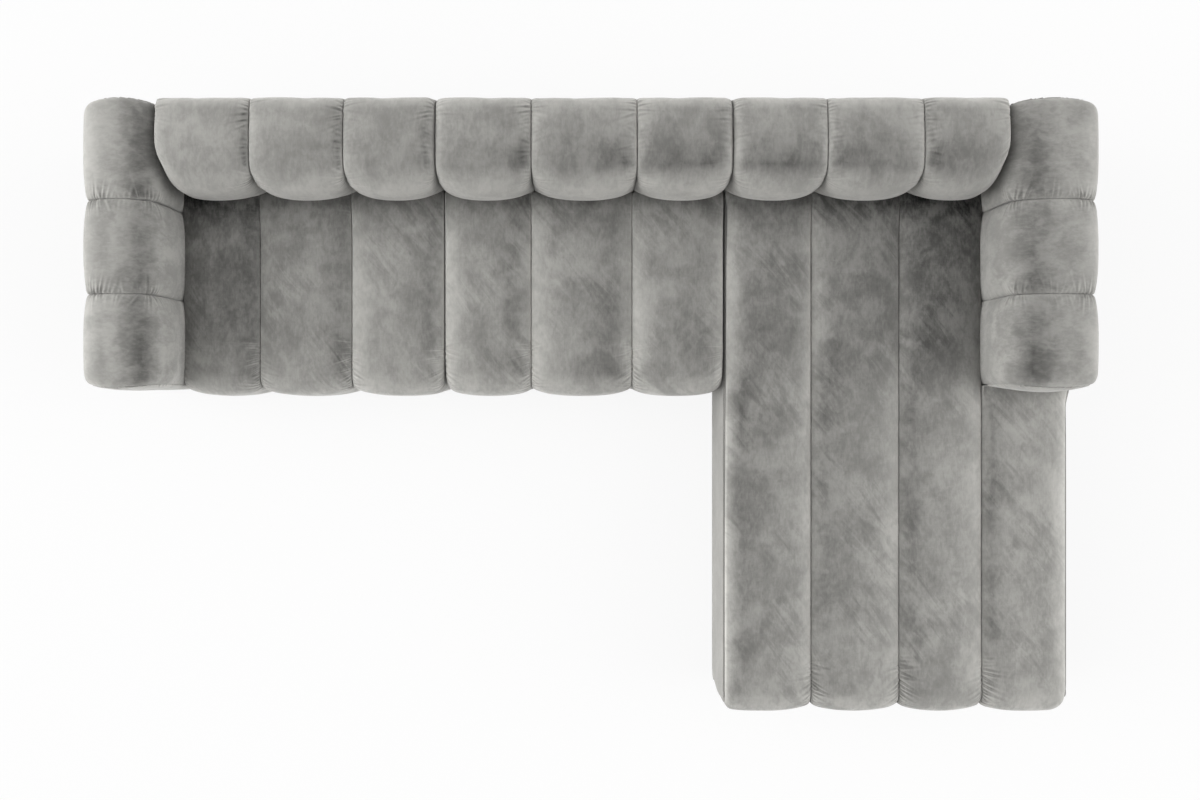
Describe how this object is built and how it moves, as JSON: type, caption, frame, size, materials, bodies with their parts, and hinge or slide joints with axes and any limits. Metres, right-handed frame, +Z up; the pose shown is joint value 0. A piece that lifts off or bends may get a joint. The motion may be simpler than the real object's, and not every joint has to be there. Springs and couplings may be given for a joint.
{
  "type": "modular corner sofa",
  "caption": "Low modular corner sofa with a chaise on the right, covered in grey velvet sewn into wide padded channels; its modules hook together.",
  "frame": {"origin": "centre of the footprint at floor level", "axes": "+X to the right for someone facing the sofa, along its long back; +Y towards the back; +Z up"},
  "size_m": [3.2806, 2.0407, 0.6903],
  "materials": {
    "seat_velvet": "brushed grey velvet over foam",
    "back_velvet": "brushed grey velvet over foam",
    "arm_velvet": "brushed grey velvet over foam",
    "panel_velvet": "brushed grey velvet, thinly padded",
    "foam": "cut foam",
    "webbing": "woven elastic",
    "dust_cloth": "non-woven cloth",
    "foot_plastic": "moulded",
    "zinc_steel": "zinc plated",
    "timber": "sawn pine"
  },
  "bodies": {
    "left_module": {"left_arm_channel_1": "arm_velvet", "left_arm_channel_2": "arm_velvet", "left_arm_channel_3": "arm_velvet", "left_arm_frame": "timber", "left_arm_front_facing": "arm_velvet", "left_arm_rear_facing": "arm_velvet", "left_back_channel_1": "back_velvet", "left_back_channel_2": "back_velvet", "left_back_channel_3": "back_velvet", "left_back_frame": "timber", "left_base_frame": "timber", "left_dust_cover": "dust_cloth", "left_feet": "foot_plastic", "left_hook_plates": "zinc_steel", "left_outer_back": "panel_velvet", "left_screws": "zinc_steel", "left_seat_channel_1": "seat_velvet", "left_seat_channel_2": "seat_velvet", "left_seat_channel_3": "seat_velvet", "left_seat_core": "foam", "left_seat_straps": "webbing"},
    "centre_module": {"centre_back_channel_1": "back_velvet", "centre_back_channel_2": "back_velvet", "centre_back_channel_3": "back_velvet", "centre_back_frame": "timber", "centre_base_frame": "timber", "centre_dust_cover": "dust_cloth", "centre_feet": "foot_plastic", "centre_hook_receivers": "zinc_steel", "centre_outer_back": "panel_velvet", "centre_screws": "zinc_steel", "centre_seat_channel_1": "seat_velvet", "centre_seat_channel_2": "seat_velvet", "centre_seat_channel_3": "seat_velvet", "centre_seat_core": "foam", "centre_seat_straps": "webbing"},
    "chaise_module": {"chaise_arm_channel_1": "arm_velvet", "chaise_arm_channel_2": "arm_velvet", "chaise_arm_channel_3": "arm_velvet", "chaise_arm_frame": "timber", "chaise_arm_front_facing": "arm_velvet", "chaise_arm_rear_facing": "arm_velvet", "chaise_back_channel_1": "back_velvet", "chaise_back_channel_2": "back_velvet", "chaise_back_channel_3": "back_velvet", "chaise_back_frame": "timber", "chaise_base_frame": "timber", "chaise_dust_cover": "dust_cloth", "chaise_feet": "foot_plastic", "chaise_hook_plates": "zinc_steel", "chaise_inner_side_panel": "panel_velvet", "chaise_outer_back": "panel_velvet", "chaise_outer_side_panel": "panel_velvet", "chaise_screws": "zinc_steel", "chaise_seat_channel_1": "seat_velvet", "chaise_seat_channel_2": "seat_velvet", "chaise_seat_channel_3": "seat_velvet", "chaise_seat_channel_4": "seat_velvet", "chaise_seat_core": "foam", "chaise_seat_straps": "webbing"}
  },
  "joints": [
    {"name": "left_lift", "type": "slide", "parent": "centre_module", "child": "left_module", "axis": [0, 0, 1], "range_m": [0, 0.08]},
    {"name": "chaise_lift", "type": "slide", "parent": "centre_module", "child": "chaise_module", "axis": [0, 0, 1], "range_m": [0, 0.08]}
  ]
}
